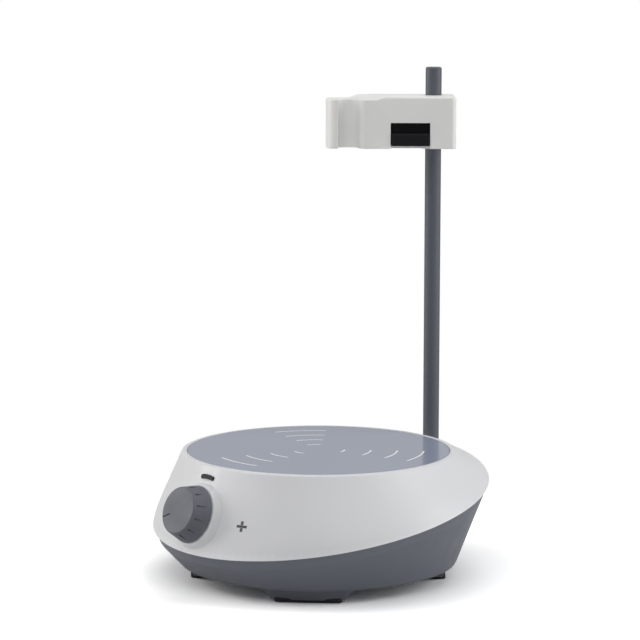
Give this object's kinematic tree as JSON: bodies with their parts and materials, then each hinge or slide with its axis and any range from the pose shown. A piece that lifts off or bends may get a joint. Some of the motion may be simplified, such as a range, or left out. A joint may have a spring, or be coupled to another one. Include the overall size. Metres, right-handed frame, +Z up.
{
  "type": "magnetic stirrer",
  "caption": "Round laboratory magnetic stirrer with a flush stirring plate, a sloping two-part casing, a speed knob and a rod with a sliding electrode holder.",
  "frame": {"origin": "the axis of the stirring plate, on the surface the stirrer stands on; it is the centre of the footprint to within a millimetre", "axes": "+Z up, along the support rod; -Y towards the speed knob at the front; +X to the right as seen from the front"},
  "size_m": [0.207, 0.2232, 0.3065],
  "materials": {
    "white_plastic": "satin moulded ABS",
    "grey_plastic": "fine matt moulded ABS",
    "plate_surface": "glossy, with printed white arcs",
    "knob_plastic": "satin moulded ABS",
    "lens_plastic": "dark tinted acrylic",
    "rubber": "matt",
    "rod_paint": "satin grey powder coat",
    "holder_plastic": "satin moulded ABS, warm white",
    "black_plastic": "satin",
    "bush_plastic": "acetal",
    "steel": "zinc plated",
    "aluminium": "satin",
    "brass": "turned",
    "circuit_board": "green solder mask",
    "component_black": "moulded",
    "copper": "enamelled copper and laminations",
    "magnet": "nickel plated",
    "led": "clear"
  },
  "bodies": {
    "base": {"board_capacitors": "component_black", "board_chips": "component_black", "board_headers": "bush_plastic", "board_inductor": "copper", "board_screws": "steel", "bracket_screws": "steel", "control_board": "circuit_board", "foot_pad_front_left": "rubber", "foot_pad_front_right": "rubber", "foot_pad_rear_left": "rubber", "foot_pad_rear_right": "rubber", "housing_screws": "steel", "indicator_board": "circuit_board", "indicator_leds": "led", "indicator_lens": "lens_plastic", "lower_shell": "grey_plastic", "motor_bearings": "steel", "motor_bracket": "steel", "motor_can": "steel", "motor_flange": "aluminium", "motor_screws": "steel", "motor_stator": "copper", "plate_gasket": "rubber", "potentiometer": "aluminium", "potentiometer_nut": "steel", "potentiometer_washer": "steel", "power_jack": "component_black", "power_jack_pin": "brass", "rod_insert": "brass", "stirring_plate": "plate_surface", "support_rod": "rod_paint", "upper_shell": "white_plastic"},
    "knob": {"speed_knob": "knob_plastic", "potentiometer_shaft": "aluminium"},
    "rotor": {"motor_shaft": "steel", "motor_rotor": "magnet", "magnet_yoke": "steel", "yoke_set_screw": "steel", "drive_magnets": "magnet"},
    "guide": {"guide_bush_upper": "bush_plastic", "guide_bush_lower": "bush_plastic"},
    "holder": {"holder_body": "holder_plastic", "holder_cover": "holder_plastic", "cover_screws": "steel", "button_spring": "steel"},
    "button": {"release_button": "black_plastic"}
  },
  "joints": [
    {"name": "knob_turn", "type": "hinge", "parent": "base", "child": "knob", "pos_m": [0, -0.0935, 0.0485], "axis": [0, 0.9385, -0.3453], "range_deg": [-17, 253]},
    {"name": "rotor_spin", "type": "hinge", "parent": "base", "child": "rotor", "pos_m": [0, 0, 0.06], "axis": [0, 0, 1], "continuous": true},
    {"name": "holder_slide", "type": "slide", "parent": "base", "child": "guide", "axis": [0, 0, 1], "range_m": [-0.177, 0.015]},
    {"name": "holder_swivel", "type": "hinge", "parent": "guide", "child": "holder", "pos_m": [0, 0.093, 0.272], "axis": [0, 0, 1], "continuous": true},
    {"name": "button_press", "type": "slide", "parent": "holder", "child": "button", "axis": [-0.7615, 0.6481, 0], "range_m": [0, 0.003], "stiffness_N_per_m": 1200, "springref_m": -0.004, "deforming": ["button_spring"]}
  ]
}
